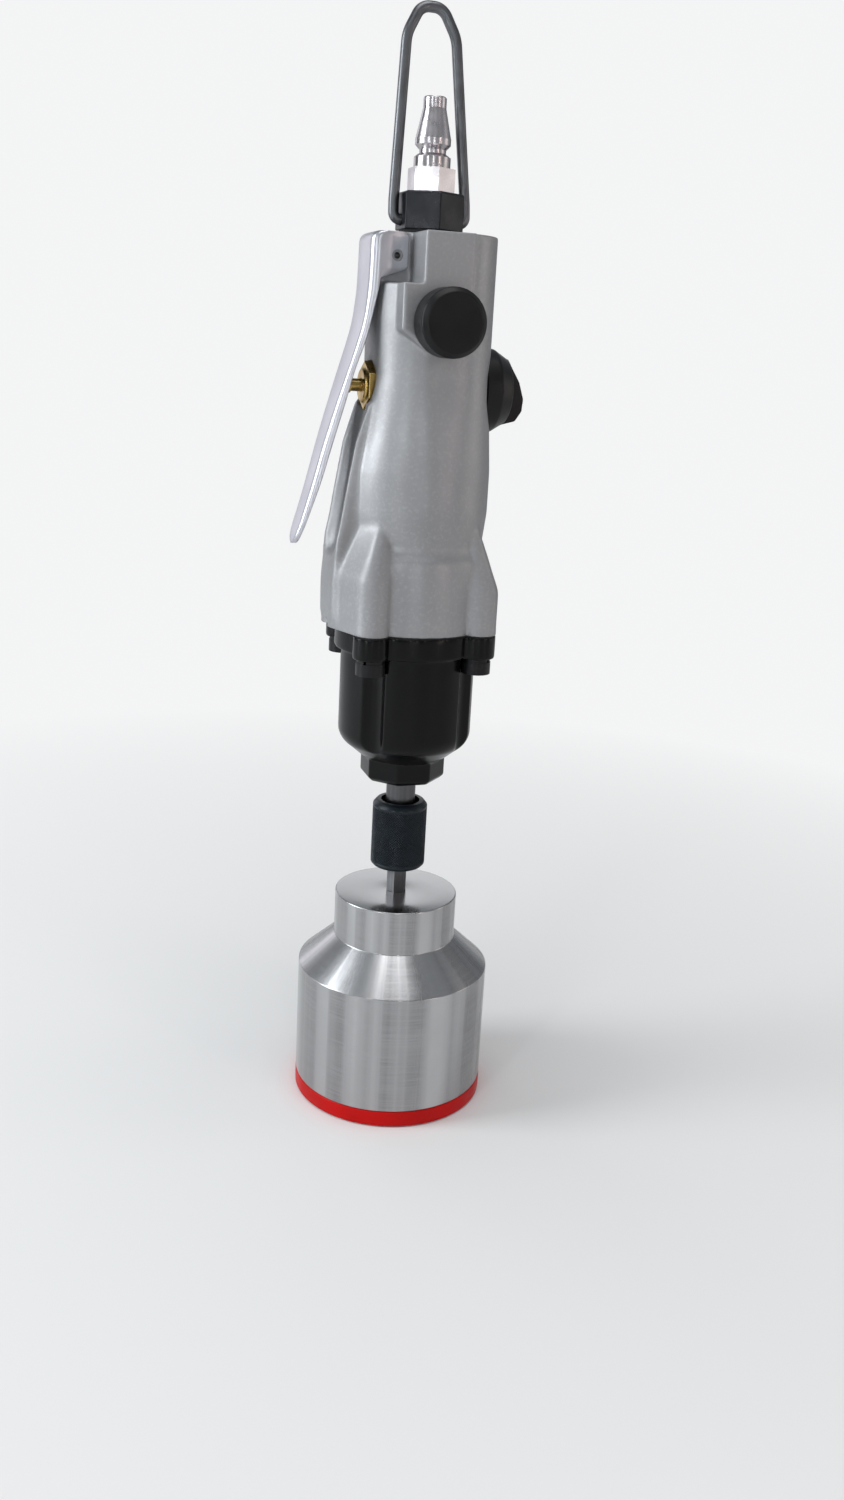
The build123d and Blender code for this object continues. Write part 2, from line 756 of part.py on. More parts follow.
with BuildPart() as lever:
    with BuildSketch(Plane.XZ) as side_view:
        with BuildLine():
            Spline(*lever_web)
            Line(lever_web[-1], lever_edge[0])
            Spline(*lever_edge)
            Polyline(*ear_line)
            ThreePointArc(ear_line[-1], (-20.4, 304.7), lever_web[0])
        make_face()
    extrude(side_view.sketch, amount=lever_half_width, both=True)
    within_lever_front(0)
    add(lever_channel.part, mode=Mode.SUBTRACT)
    rod(1.78, (lever_pin_x, -15, lever_pin_z), (lever_pin_x, 15, lever_pin_z), mode=Mode.SUBTRACT)

with BuildPart() as lever_pin:
    tube(
        1.74,
        1.0,
        (lever_pin_x, -lever_half_width + 0.5, lever_pin_z),
        (lever_pin_x, lever_half_width - 0.5, lever_pin_z),
    )

# ==== throttle valve (along X) =================================================
seat_face_x = -3.0
throttle_ball_radius = 4.2
throttle_ball_x = seat_face_x + (throttle_ball_radius**2 - 3.0**2) ** 0.5
with BuildPart() as valve_bushing:
    rod(valve_bore_radius - 0.02, (-17.2, 0, valve_z), (-6.0, 0, valve_z))
    with BuildSketch(Plane(origin=(-17.2, 0, valve_z), z_dir=(-1, 0, 0))):
        RegularPolygon(13.6 / 2, 6, major_radius=False)
    extrude(amount=2.6)
    with BuildSketch(Plane(origin=(-19.8, 0, valve_z), z_dir=(-1, 0, 0))):
        Circle(5.6)
    extrude(amount=1.0, taper=25)
    rod(2.1, (-23, 0, valve_z), (-6, 0, valve_z), mode=Mode.SUBTRACT)
    rod(4.0, (-11.5, 0, valve_z), (-6, 0, valve_z), mode=Mode.SUBTRACT)

with BuildPart() as valve_stem:
    rod(2.6, (-25.6, 0, valve_z), (-24.5, 0, valve_z))
    fillet(faces().sort_by(Axis.X)[0].edges(), 1.0)
    rod(2.05, (-24.5, 0, valve_z), (-4.35, 0, valve_z))

with BuildPart() as valve_seat:
    tube(valve_bore_radius - 0.02, 3.0, (-6.0, 0, valve_z), (seat_face_x, 0, valve_z))

with BuildPart() as throttle_ball:
    with Locations((throttle_ball_x + 0.02, 0, valve_z)):
        Sphere(throttle_ball_radius)

with BuildPart() as valve_spring:
    coil(0.45, 2.6, 6.3, 4.0, Plane(origin=(4.6, 0, valve_z), z_dir=(1, 0, 0)))

# ==== direction selector (+X) ==================================================
spool_groove_x = knob_base_x - 3.2
with BuildPart() as selector_spool:
    rod(valve_bore_radius - 0.05, (11.0, 0, valve_z), (knob_base_x - 0.6, 0, valve_z))
    rod(3.6, (knob_base_x - 0.6, 0, valve_z), (25.0, 0, valve_z))
    rod(1.6, (13.3, 0, valve_z - 9), (13.3, 0, valve_z + 9), mode=Mode.SUBTRACT)
    with BuildSketch(Plane(origin=(spool_groove_x, 0, valve_z), z_dir=(1, 0, 0))):
        Circle(9.0)
        Circle(6.6, mode=Mode.SUBTRACT)
    extrude(amount=1.6, mode=Mode.SUBTRACT)

with BuildPart() as selector_seal:
    tube(
        valve_bore_radius - 0.05,
        6.65,
        (spool_groove_x + 0.1, 0, valve_z),
        (spool_groove_x + 1.5, 0, valve_z),
    )

knob_rim_x = 24.2
knob_cone = 5.0
ridge_line = [
    (knob_rim_x, valve_z + 11.6),
    (29.3, valve_z + 10.4),
    (30.9, valve_z + 7.7),
    (33.8, valve_z + 3.2),
    (35.6, valve_z - 2.3),
    (35.3, valve_z - 6.3),
    (33.0, valve_z - 9.7),
    (knob_rim_x, valve_z - 12.0),
]
with BuildPart() as selector_knob:
    with BuildSketch(Plane(origin=(knob_base_x, 0, valve_z), z_dir=(1, 0, 0))):
        Circle(13.7)
    extrude(amount=knob_rim_x - knob_base_x)
    with BuildSketch(Plane(origin=(knob_rim_x, 0, valve_z), z_dir=(1, 0, 0))):
        Circle(13.7)
    extrude(amount=knob_cone, taper=31)
    with BuildSketch(Plane.XZ.offset(-3.6)):
        with BuildLine():
            Polyline(*ridge_line, close=True)
        make_face()
    extrude(amount=7.2)
    outer_ridge = edges().filter_by(Axis.Y).group_by(Axis.X)
    fillet(outer_ridge[-1] + outer_ridge[-2] + outer_ridge[-3], 1.2)
    rod(3.65, (knob_base_x - 1, 0, valve_z), (25.1, 0, valve_z), mode=Mode.SUBTRACT)
    # Race for the detent ball, with a deeper pocket at either end of the quarter turn.
    with BuildSketch(Plane(origin=(knob_base_x, 0, valve_z), z_dir=(1, 0, 0))):
        Circle(detent_orbit + 1.7)
        Circle(detent_orbit - 1.7, mode=Mode.SUBTRACT)
    extrude(amount=0.9, mode=Mode.SUBTRACT)
    for y, z in ((0, valve_z + detent_orbit), (detent_orbit, valve_z)):
        rod(1.6, (knob_base_x, y, z), (knob_base_x + 1.6, y, z), mode=Mode.SUBTRACT)

with BuildPart() as detent_ball:
    with Locations((detent_x, 0, valve_z + detent_orbit)):
        Sphere(1.5)

with BuildPart() as detent_spring:
    spring_foot = Plane(origin=(detent_x - 4.9, 0, valve_z + detent_orbit), z_dir=(1, 0, 0))
    coil(0.25, 1.15, 3.2, 4.0, spring_foot)

# ==== power regulator (-Y) =====================================================
knob_face_y = -33.0
knob_back_y = front_pad_y - 0.5
with BuildPart() as regulator_knob:
    with BuildSketch(Plane(origin=(0, knob_back_y, regulator_z), z_dir=(0, -1, 0))):
        Circle(10.7)
    extrude(amount=knob_back_y - knob_face_y)
    chamfer(faces().sort_by(Axis.Y)[0].edges(), 1.6)
    rod(3.02, (0, -22, regulator_z), (0, -28.1, regulator_z), mode=Mode.SUBTRACT)

with BuildPart() as regulator_valve:
    rod(4.95, (0, -22.2, regulator_z), (0, 11.0, regulator_z))
    rod(3.0, (0, -28.0, regulator_z), (0, -22.2, regulator_z))
    rod(3.6, (0, 0, regulator_z - 6), (0, 0, regulator_z + 6), mode=Mode.SUBTRACT)
    with BuildSketch(Plane(origin=(0, -19.0, regulator_z), z_dir=(0, 1, 0))):
        Circle(6.0)
        Circle(3.9, mode=Mode.SUBTRACT)
    extrude(amount=1.6, mode=Mode.SUBTRACT)

with BuildPart() as regulator_seal:
    tube(4.95, 3.95, (0, -18.9, regulator_z), (0, -17.5, regulator_z))

# ==== air inlet ================================================================
seal_top_z = housing_top_z + 1.0
with BuildPart() as inlet_seal:
    tube(9.6, bush_thread_radius + 0.1, (0, 0, housing_top_z), (0, 0, seal_top_z))

with BuildPart() as inlet_bush:
    rod(bush_thread_radius, (0, 0, 293.0), (0, 0, seal_top_z))
    with BuildSketch(Plane.XY.offset(seal_top_z)):
        RegularPolygon(bush_flats / 2, 6, major_radius=False, rotation=30)
    extrude(amount=bush_top_z - seal_top_z)
    chamfer(faces().sort_by(Axis.Z)[-1].edges(), 0.6)
    rod(4.6, (0, 0, 292), (0, 0, bush_top_z), mode=Mode.SUBTRACT)
    rod(6.42, (0, 0, 313.0), (0, 0, bush_top_z + 1), mode=Mode.SUBTRACT)
    for side in (1, -1):
        rod(
            bail_wire_radius + 0.08,
            (side * 6.9, 0, bail_pivot_z),
            (side * 14, 0, bail_pivot_z),
            mode=Mode.SUBTRACT,
        )

with BuildPart() as inlet_screen:
    rod(7.6, (0, 0, 291.6), (0, 0, 292.6))
    with BuildSketch(Plane.XY.offset(291.6)):
        with GridLocations(2.0, 2.0, 5, 5):
            Circle(0.65)
    extrude(amount=1.0, mode=Mode.SUBTRACT)

with BuildPart() as air_plug:
    turned(
        (2.6, 313.4),
        (6.4, 313.4),
        (6.4, bush_top_z),
        (2.6, bush_top_z),
    )
    with BuildSketch(Plane.XY.offset(bush_top_z)):
        RegularPolygon(plug_flats / 2, 6, major_radius=False, rotation=30)
        Circle(2.6, mode=Mode.SUBTRACT)
    extrude(amount=7.3)
    turned(
        (2.6, 326.3),
        (5.9, 326.3),
        (5.9, 329.6),
        (4.3, 330.7),
        (4.3, 331.8),
        (5.7, 333.2),
        (5.7, 335.0),
        (3.7, 344.0),
        (3.7, plug_top_z - 0.4),
        (3.3, plug_top_z),
        (2.6, plug_top_z),
    )

# ==== bail =====================================================================
bail_half_foot = 12.1
bail_half_shoulder = 8.2
bail_half_crown = 3.6
bail_half_path = [
    (7.2, bail_pivot_z),
    (bail_half_foot, bail_pivot_z),
    (bail_half_foot - 0.1, 316.5),
    (bail_half_shoulder, bail_crown_z - 8.6),
    (bail_half_crown, bail_crown_z),
]
bail_plane = Plane(
    origin=(0, 0, bail_pivot_z),
    x_dir=(1, 0, 0),
    z_dir=(0, -cos(radians(bail_lean)), sin(radians(bail_lean))),
)
bail_points = [(x, z - bail_pivot_z) for x, z in bail_half_path]
bail_points += [(-x, z) for x, z in reversed(bail_points)]
with BuildPart() as bail:
    with BuildLine(bail_plane) as wire:
        FilletPolyline(*bail_points, radius=[2.2, 2.2, 12.0, 4.8, 4.8, 12.0, 2.2, 2.2])
    with BuildSketch(Plane(origin=wire.line @ 0, z_dir=wire.line % 0)):
        Circle(bail_wire_radius)
    sweep(path=wire.line)

# ==== writing ==================================================================
os.makedirs("parts", exist_ok=True)
pieces = {
    "air_plug": air_plug,
    "anvil_spindle": anvil_spindle,
    "bail": bail,
    "capping_head": capping_head,
    "case_bolts": case_bolts,
    "chuck_balls": chuck_balls,
    "chuck_retaining_ring": chuck_retaining_ring,
    "chuck_sleeve": chuck_sleeve,
    "chuck_spring": chuck_spring,
    "cylinder_dowel": cylinder_dowel,
    "cylinder_liner": cylinder_liner,
    "detent_ball": detent_ball,
    "detent_spring": detent_spring,
    "drive_shank": drive_shank,
    "exhaust_felt": exhaust_felt,
    "flange_gasket": flange_gasket,
    "front_bearing": front_bearing,
    "front_end_plate": front_end_plate,
    "gripping_liner": gripping_liner,
    "hammer_cage": hammer_cage,
    "hammer_case": hammer_case,
    "hammer_pins": hammer_pins,
    "hammers": hammers,
    "inlet_bush": inlet_bush,
    "inlet_screen": inlet_screen,
    "inlet_seal": inlet_seal,
    "lever": lever,
    "lever_pin": lever_pin,
    "motor_housing": motor_housing,
    "nose_bush": nose_bush,
    "nose_seal": nose_seal,
    "pressure_pad": pressure_pad,
    "rear_bearing": rear_bearing,
    "rear_end_plate": rear_end_plate,
    "regulator_knob": regulator_knob,
    "regulator_seal": regulator_seal,
    "regulator_valve": regulator_valve,
    "rotor": rotor,
    "rotor_vanes": rotor_vanes,
    "selector_knob": selector_knob,
    "selector_seal": selector_seal,
    "selector_spool": selector_spool,
    "shank_nut": shank_nut,
    "shank_washer": shank_washer,
    "spring_washers": spring_washers,
    "throttle_ball": throttle_ball,
    "valve_bushing": valve_bushing,
    "valve_seat": valve_seat,
    "valve_spring": valve_spring,
    "valve_stem": valve_stem,
}
for name, piece in pieces.items():
    piece.part.label = name
    export_step(piece.part, f"parts/{name}.step")
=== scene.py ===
"""The looks of an air-driven capping machine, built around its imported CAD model.

Metres, in the model's own frame: the origin is on the spindle axis in the plane of the
capping head's mouth, +Z runs up the spindle, the lever is on -X, the selector on +X
and the regulator on -Y.
"""

import json
from math import cos, pi, radians, sin, tan

import bmesh
import bpy
import numpy as np
from mathutils import Matrix, Vector


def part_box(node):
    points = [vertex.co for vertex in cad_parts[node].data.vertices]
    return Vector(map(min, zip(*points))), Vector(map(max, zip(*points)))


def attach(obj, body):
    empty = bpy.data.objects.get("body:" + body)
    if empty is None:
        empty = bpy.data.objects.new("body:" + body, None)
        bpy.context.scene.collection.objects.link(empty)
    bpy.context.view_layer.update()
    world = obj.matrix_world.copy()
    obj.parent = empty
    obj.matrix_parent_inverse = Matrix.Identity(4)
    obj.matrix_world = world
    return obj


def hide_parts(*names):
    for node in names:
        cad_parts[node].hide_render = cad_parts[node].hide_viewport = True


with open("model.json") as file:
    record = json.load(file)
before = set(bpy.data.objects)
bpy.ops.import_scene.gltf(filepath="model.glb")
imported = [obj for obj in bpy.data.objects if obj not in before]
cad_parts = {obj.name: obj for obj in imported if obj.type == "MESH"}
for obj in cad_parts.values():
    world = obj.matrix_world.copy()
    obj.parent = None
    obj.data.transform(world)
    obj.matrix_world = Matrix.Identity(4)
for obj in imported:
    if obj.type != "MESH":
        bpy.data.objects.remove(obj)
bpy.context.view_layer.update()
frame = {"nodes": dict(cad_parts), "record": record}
MM = 0.001
scene = bpy.context.scene


# ---- camera -------------------------------------------------------------------
def make_camera():
    """A hand-held view from the front, a little from the lever's side and above."""
    azimuth, pitch, roll, yaw = (radians(a) for a in (-17.5, 16.6, -3.1, 0.85))
    distance, height = 466.0 * MM, 271.8 * MM
    inward = Vector((-sin(azimuth), cos(azimuth), 0))
    sideways = Vector((inward.y, -inward.x, 0))
    ahead = inward * cos(yaw) + sideways * sin(yaw)
    right = Vector((ahead.y, -ahead.x, 0))
    up_axis = Vector((0, 0, 1))
    look = ahead * cos(pitch) - up_axis * sin(pitch)
    above = ahead * sin(pitch) + up_axis * cos(pitch)
    camera_x = right * cos(roll) - above * sin(roll)
    camera_y = above * cos(roll) + right * sin(roll)
    camera = bpy.data.objects.new("camera", bpy.data.cameras.new("camera"))
    scene.collection.objects.link(camera)
    turn = Matrix((camera_x, camera_y, -look)).transposed().to_4x4()
    place = Vector((distance * sin(azimuth), -distance * cos(azimuth), height))
    camera.matrix_world = Matrix.Translation(place) @ turn
    camera.data.sensor_width = 36.0
    camera.data.lens = 32.4
    camera.data.clip_start = 0.02
    scene.camera = camera
    return camera


# ---- materials ----------------------------------------------------------------
class Surface:
    """A Principled material with short calls for the patterns that vary over it."""

    def __init__(self, name, colour, metallic=0.0, roughness=0.5, **sockets):
        self.material = bpy.data.materials.new(name)
        self.material.use_nodes = True
        self.tree = self.material.node_tree
        self.shader = self.tree.nodes["Principled BSDF"]
        self.colour = (*colour, 1.0)
        self.roughness = roughness
        self.set("Base Color", self.colour)
        self.set("Metallic", metallic)
        self.set("Roughness", roughness)
        for socket, value in sockets.items():
            self.set(socket.replace("_", " "), value)
        self.place = self.node("ShaderNodeTexCoord").outputs["Object"]

    def set(self, socket, value):
        self.shader.inputs[socket].default_value = value

    def node(self, kind, **values):
        made = self.tree.nodes.new(kind)
        for key, value in values.items():
            setattr(made, key, value)
        return made

    def link(self, start, end):
        self.tree.links.new(start, end)

    def noise(self, scale, detail=3.0, stretch=(1, 1, 1), distortion=0.0, source=None):
        """A noise from 0 to 1, with scale in waves per metre and stretch per axis."""
        mapping = self.node("ShaderNodeMapping")
        mapping.inputs["Scale"].default_value = stretch
        self.link(source or self.place, mapping.inputs["Vector"])
        noise = self.node("ShaderNodeTexNoise")
        noise.inputs["Scale"].default_value = scale
        noise.inputs["Detail"].default_value = detail
        noise.inputs["Distortion"].default_value = distortion
        self.link(mapping.outputs["Vector"], noise.inputs["Vector"])
        return noise.outputs["Fac"]

    def around(self):
        """The angle about the spindle as a point on the unit circle."""
        flat = self.node("ShaderNodeVectorMath", operation="MULTIPLY")
        flat.inputs[1].default_value = (1, 1, 0)
        self.link(self.place, flat.inputs[0])
        unit = self.node("ShaderNodeVectorMath", operation="NORMALIZE")
        self.link(flat.outputs["Vector"], unit.inputs[0])
        return unit.outputs["Vector"]

    def upright(self, source):
        """A pattern that fades out where the surface lies flat."""
        facing = self.node("ShaderNodeSeparateXYZ")
        self.link(self.node("ShaderNodeNewGeometry").outputs["True Normal"], facing.inputs[0])
        flat = self.node("ShaderNodeMath", operation="ABSOLUTE")
        self.link(facing.outputs["Z"], flat.inputs[0])
        kept = self.node("ShaderNodeMath", operation="MULTIPLY")
        self.link(self.fit(flat.outputs["Value"], 1.0, 0.0, 0.90, 0.98), kept.inputs[0])
        self.link(source, kept.inputs[1])
        return kept.outputs["Value"]

    def fit(self, source, low, high, start=0.3, end=0.7):
        """Maps a pattern from start..end to low..high."""
        ramp = self.node("ShaderNodeMapRange", clamp=True)
        ramp.inputs["From Min"].default_value = start
        ramp.inputs["From Max"].default_value = end
        ramp.inputs["To Min"].default_value = low
        ramp.inputs["To Max"].default_value = high
        self.link(source, ramp.inputs["Value"])
        return ramp.outputs["Result"]

    def tint(self, source, other, low=0.0, high=1.0, start=0.35, end=0.65):
        """Mixes the colour so far towards another where the pattern is high."""
        mix = self.node("ShaderNodeMix", data_type="RGBA")
        socket = self.shader.inputs["Base Color"]
        if socket.is_linked:
            self.link(socket.links[0].from_socket, mix.inputs["A"])
        else:
            mix.inputs["A"].default_value = self.colour
        mix.inputs["B"].default_value = (*other, 1.0)
        self.link(self.fit(source, low, high, start, end), mix.inputs["Factor"])
        self.link(mix.outputs["Result"], socket)
        return self

    def wear(self, source, low, high, start=0.3, end=0.7):
        """Lets the roughness follow a pattern."""
        self.link(self.fit(source, low, high, start, end), self.shader.inputs["Roughness"])
        return self

    def bump(self, source, height_mm, strength=1.0):
        """Adds a bump on top of those already there."""
        bump = self.node("ShaderNodeBump")
        bump.inputs["Strength"].default_value = strength
        bump.inputs["Distance"].default_value = height_mm * MM
        self.link(source, bump.inputs["Height"])
        socket = self.shader.inputs["Normal"]
        if socket.is_linked:
            self.link(socket.links[0].from_socket, bump.inputs["Normal"])
        self.link(bump.outputs["Normal"], socket)
        return self

    def brushed(self, amount):
        """Stretches highlights along the spindle, as turning marks do."""
        tangent = self.node("ShaderNodeTangent", direction_type="RADIAL", axis="Z")
        self.set("Anisotropic", amount)
        self.link(tangent.outputs["Tangent"], self.shader.inputs["Tangent"])
        return self


def turned_metal(name, colour, roughness, rings, painted_streaks=0.5, brushing=0.6):
    """Lathe-turned metal: fine rings round the axis, and soft streaks along it that vary its roughness and
    darken its colour as painted reflection streaks.
    """
    s = Surface(name, colour, metallic=1.0, roughness=roughness)
    ring = s.noise(rings, 3.0, stretch=(0.02, 0.02, 1.0))
    streak = s.upright(s.noise(3.4, 4.0, source=s.around()))
    smudge = s.noise(45.0, 3.0, distortion=0.6)
    s.wear(streak, roughness - 0.05, roughness + 0.08)
    # Painted reflection: darker bands along the spindle, fixed to the metal, stand in for reflected
    # streaks.
    s.tint(streak, tuple(0.45 * c for c in colour), 0.0, painted_streaks, 0.42, 0.60)
    s.tint(smudge, tuple(0.82 * c for c in colour), 0.0, 0.5, 0.45, 0.8)
    s.tint(ring, tuple(0.88 * c for c in colour), 0.0, 0.4)
    s.bump(ring, 0.006, 0.35)
    s.brushed(brushing)
    return s


def cast_paint():
    """Satin silver paint over a casting's slight unevenness."""
    s = Surface("cast_aluminium", (0.325, 0.328, 0.338), metallic=0.55, roughness=0.44)
    s.tint(s.noise(30.0, 4.0, distortion=0.4), (0.265, 0.265, 0.272), 0.0, 0.6)
    s.tint(s.noise(900.0, 2.0), (0.44, 0.445, 0.455), 0.0, 0.3, 0.5, 0.75)
    s.wear(s.noise(60.0, 4.0), 0.38, 0.52)
    s.bump(s.noise(620.0, 3.0), 0.03, 0.25)
    s.bump(s.noise(80.0, 2.0), 0.08, 0.3)
    return s


def polished_sheet():
    """Polished sheet with faint drawing marks along its length."""
    s = Surface("polished_aluminium", (0.60, 0.60, 0.645), metallic=1.0, roughness=0.33)
    streak = s.noise(240.0, 3.0, stretch=(1.0, 1.0, 0.03))
    s.wear(s.noise(60.0, 3.0), 0.30, 0.37)
    s.tint(s.noise(55.0, 3.0, distortion=0.8), (0.50, 0.50, 0.53), 0.0, 0.6, 0.4, 0.75)
    s.bump(streak, 0.002, 0.15)
    return s


def gloss_enamel():
    """Deep black enamel over a turned and cast body, with a soft orange-peel."""
    s = Surface("black_gloss_case", (0.0012, 0.0012, 0.0014), roughness=0.18)
    s.wear(s.noise(70.0, 4.0, distortion=0.5), 0.14, 0.27)
    s.tint(s.noise(240.0, 4.0), (0.003, 0.003, 0.0033), 0.0, 0.6, 0.5, 0.8)
    s.bump(s.noise(300.0, 2.0), 0.03, 0.2)
    s.set("Specular IOR Level", 0.2)
    return s


def black_metal(name, colour, roughness, grain=500.0):
    """Blackened metal, rubbed a little lighter in patches."""
    lighter = tuple(c * 1.9 + 0.004 for c in colour)
    s = Surface(name, colour, metallic=0.3, roughness=roughness)
    s.wear(s.noise(150.0, 4.0), roughness - 0.08, roughness + 0.1)
    s.tint(s.noise(210.0, 4.0, distortion=0.5), lighter, 0.0, 0.5, 0.5, 0.8)
    s.bump(s.noise(grain, 3.0), 0.015, 0.3)
    s.set("Specular IOR Level", 0.35)
    return s


def plated(name, colour, roughness, tarnish):
    """Plated or plain bright metal with cloudy tarnish."""
    s = Surface(name, colour, metallic=1.0, roughness=roughness)
    s.wear(s.noise(180.0, 4.0), roughness - 0.06, roughness + 0.1)
    s.tint(s.noise(110.0, 4.0, distortion=0.7), tarnish, 0.0, 0.8, 0.4, 0.75)
    s.bump(s.noise(700.0, 2.0), 0.008, 0.3)
    return s


def moulded(name, colour, roughness, lift, grain=900.0, gloss=0.25):
    """Moulded plastic or rubber: an even colour under a fine spark-eroded grain."""
    s = Surface(name, colour, roughness=roughness)
    s.wear(s.noise(140.0, 3.0), roughness - 0.07, roughness + 0.09)
    s.tint(s.noise(60.0, 3.0), lift, 0.0, 0.7, 0.4, 0.75)
    s.bump(s.noise(grain, 3.0), 0.02, 0.3)
    s.set("Specular IOR Level", gloss)
    return s


def make_materials():
    """One finished material for each of the record's slots."""
    return {
        "turned_aluminium": turned_metal("turned_aluminium", (0.52, 0.52, 0.53), 0.22, 2600.0, 0.8),
        "cast_aluminium": cast_paint(),
        "polished_aluminium": polished_sheet(),
        "black_gloss_case": gloss_enamel(),
        "black_oxide_steel": black_metal("black_oxide_steel", (0.008, 0.013, 0.018), 0.34),
        "black_bolt": black_metal("black_bolt", (0.006, 0.006, 0.007), 0.36),
        "black_bush": black_metal("black_bush", (0.006, 0.007, 0.010), 0.30),
        "plated_steel": plated("plated_steel", (0.56, 0.54, 0.56), 0.24, (0.46, 0.43, 0.43)),
        "zinc_steel": plated("zinc_steel", (0.56, 0.58, 0.62), 0.4, (0.48, 0.50, 0.53)),
        "wire_steel": plated("wire_steel", (0.16, 0.165, 0.175), 0.34, (0.10, 0.10, 0.105)),
        "ground_steel": turned_metal("ground_steel", (0.12, 0.12, 0.125), 0.32, 1800.0, 0.3),
        "hardened_steel": plated("hardened_steel", (0.16, 0.16, 0.165), 0.35, (0.2, 0.19, 0.18)),
        "bearing_steel": turned_metal("bearing_steel", (0.60, 0.60, 0.60), 0.2, 2400.0, 0.2),
        "spring_steel": plated("spring_steel", (0.34, 0.34, 0.35), 0.32, (0.2, 0.18, 0.16)),
        "cast_iron_plate": plated("cast_iron_plate", (0.22, 0.22, 0.22), 0.45, (0.15, 0.14, 0.13)),
        "bronze": turned_metal("bronze", (0.50, 0.34, 0.18), 0.34, 1500.0, 0.2),
        "brass_valve": plated("brass_valve", (0.52, 0.36, 0.12), 0.28, (0.30, 0.19, 0.06)),
        "brass_mesh": plated("brass_mesh", (0.62, 0.46, 0.2), 0.34, (0.44, 0.3, 0.12)),
        "black_plastic": moulded("black_plastic", (0.003, 0.003, 0.0033), 0.36, (0.005, 0.005, 0.0055)),
        "red_rubber": moulded("red_rubber", (0.50, 0.0015, 0.001), 0.42, (0.34, 0.002, 0.001), gloss=0.15),
        "black_rubber": moulded("black_rubber", (0.01, 0.01, 0.01), 0.6, (0.016, 0.016, 0.016)),
        "nylon": moulded("nylon", (0.70, 0.67, 0.58), 0.45, (0.62, 0.59, 0.50), gloss=0.5),
        "phenolic": moulded("phenolic", (0.24, 0.13, 0.05), 0.5, (0.30, 0.17, 0.07), 1500.0),
        "grey_felt": moulded("grey_felt", (0.36, 0.36, 0.34), 0.95, (0.46, 0.46, 0.44), 1300.0),
        "gasket_fibre": moulded("gasket_fibre", (0.02, 0.02, 0.02), 0.8, (0.03, 0.03, 0.03)),
    }


camera = make_camera()
surfaces = make_materials()
slot_of = {part["node"]: part["material_slot"] for part in frame["record"]["subparts"]}


def dress_cad_nodes():
    """Every CAD node gets its slot's material and smooth faces; its mesh stays as it is."""
    for name, obj in frame["nodes"].items():
        obj.data.materials.clear()
        obj.data.materials.append(surfaces[slot_of[name]].material)
        obj.data.shade_smooth()


# ---- mesh helpers -------------------------------------------------------------
def finished(name, mesh, node, body):
    """A new piece that stands for a CAD node, in its slot's finish."""
    obj = bpy.data.objects.new(name, mesh)
    scene.collection.objects.link(obj)
    mesh.materials.clear()
    mesh.materials.append(surfaces[slot_of[node]].material)
    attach(obj, body)
    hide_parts(node)
    return obj


def baked(mesh, *modifiers):
    """The mesh with modifiers (type, {property: value}) applied to it."""
    holder = bpy.data.objects.new("holder", mesh)
    scene.collection.objects.link(holder)
    for kind, values in modifiers:
        modifier = holder.modifiers.new(kind.lower(), kind)
        for key, value in values.items():
            setattr(modifier, key, value)
    graph = bpy.context.evaluated_depsgraph_get()
    result = bpy.data.meshes.new_from_object(holder.evaluated_get(graph))
    bpy.data.objects.remove(holder)
    return result


def welded(node):
    """A CAD node's mesh with its faces joined at their edges."""
    mesh = frame["nodes"][node].data.copy()
    work = bmesh.new()
    work.from_mesh(mesh)
    bmesh.ops.remove_doubles(work, verts=work.verts, dist=0.002 * MM)
    work.to_mesh(mesh)
    work.free()
    return mesh


def relaxed(mesh, rounds, weight=None):
    """Evens out a dense mesh, each point by its own weight, so that edges soften."""
    count = len(mesh.vertices)
    points = np.zeros(count * 3)
    mesh.vertices.foreach_get("co", points)
    points = points.reshape(-1, 3)
    ends = np.zeros(len(mesh.edges) * 2, np.int64)
    mesh.edges.foreach_get("vertices", ends)
    first, second = ends.reshape(-1, 2).T
    degree = np.bincount(first, minlength=count) + np.bincount(second, minlength=count)
    share = np.full(count, 0.5) if weight is None else 0.5 * weight(points)
    for _ in range(rounds):
        for axis in range(3):
            line = points[:, axis]
            total = np.bincount(first, line[second], count)
            total += np.bincount(second, line[first], count)
            points[:, axis] = line + share * (total / degree - line)
    mesh.vertices.foreach_set("co", points.ravel())
    mesh.update()
    return mesh


def softened(node, name, body, voxel_mm, rounds, keep=1.0, weight=None):
    """A CAD node's shape with its sharp edges rounded, as casting and moulding do."""
    mesh = baked(
        welded(node), ("REMESH", {"mode": "VOXEL", "voxel_size": voxel_mm * MM})
    )
    relaxed(mesh, rounds, weight)
    if keep < 1.0:
        mesh = baked(mesh, ("DECIMATE", {"ratio": keep}))
    mesh.shade_smooth()
    return finished(name, mesh, node, body)


def rounded(profile, radius, steps=4):
    """A closed (r, z) outline with an arc at each corner."""
    out = []
    for i, corner in enumerate(profile):
        here = Vector(corner)
        back = Vector(profile[i - 1]) - here
        onward = Vector(profile[(i + 1) % len(profile)]) - here
        between = back.angle(onward)
        reach = min(radius / tan(between / 2), 0.45 * back.length, 0.45 * onward.length)
        if between > radians(172) or min(here.x, back.length, onward.length) <= 0:
            out.append(tuple(here))
            continue
        start = here + back.normalized() * reach
        end = here + onward.normalized() * reach
        for k in range(steps + 1):
            t = k / steps
            point = start * (1 - t) ** 2 + here * 2 * t * (1 - t) + end * t**2
            out.append(tuple(point))
    return out


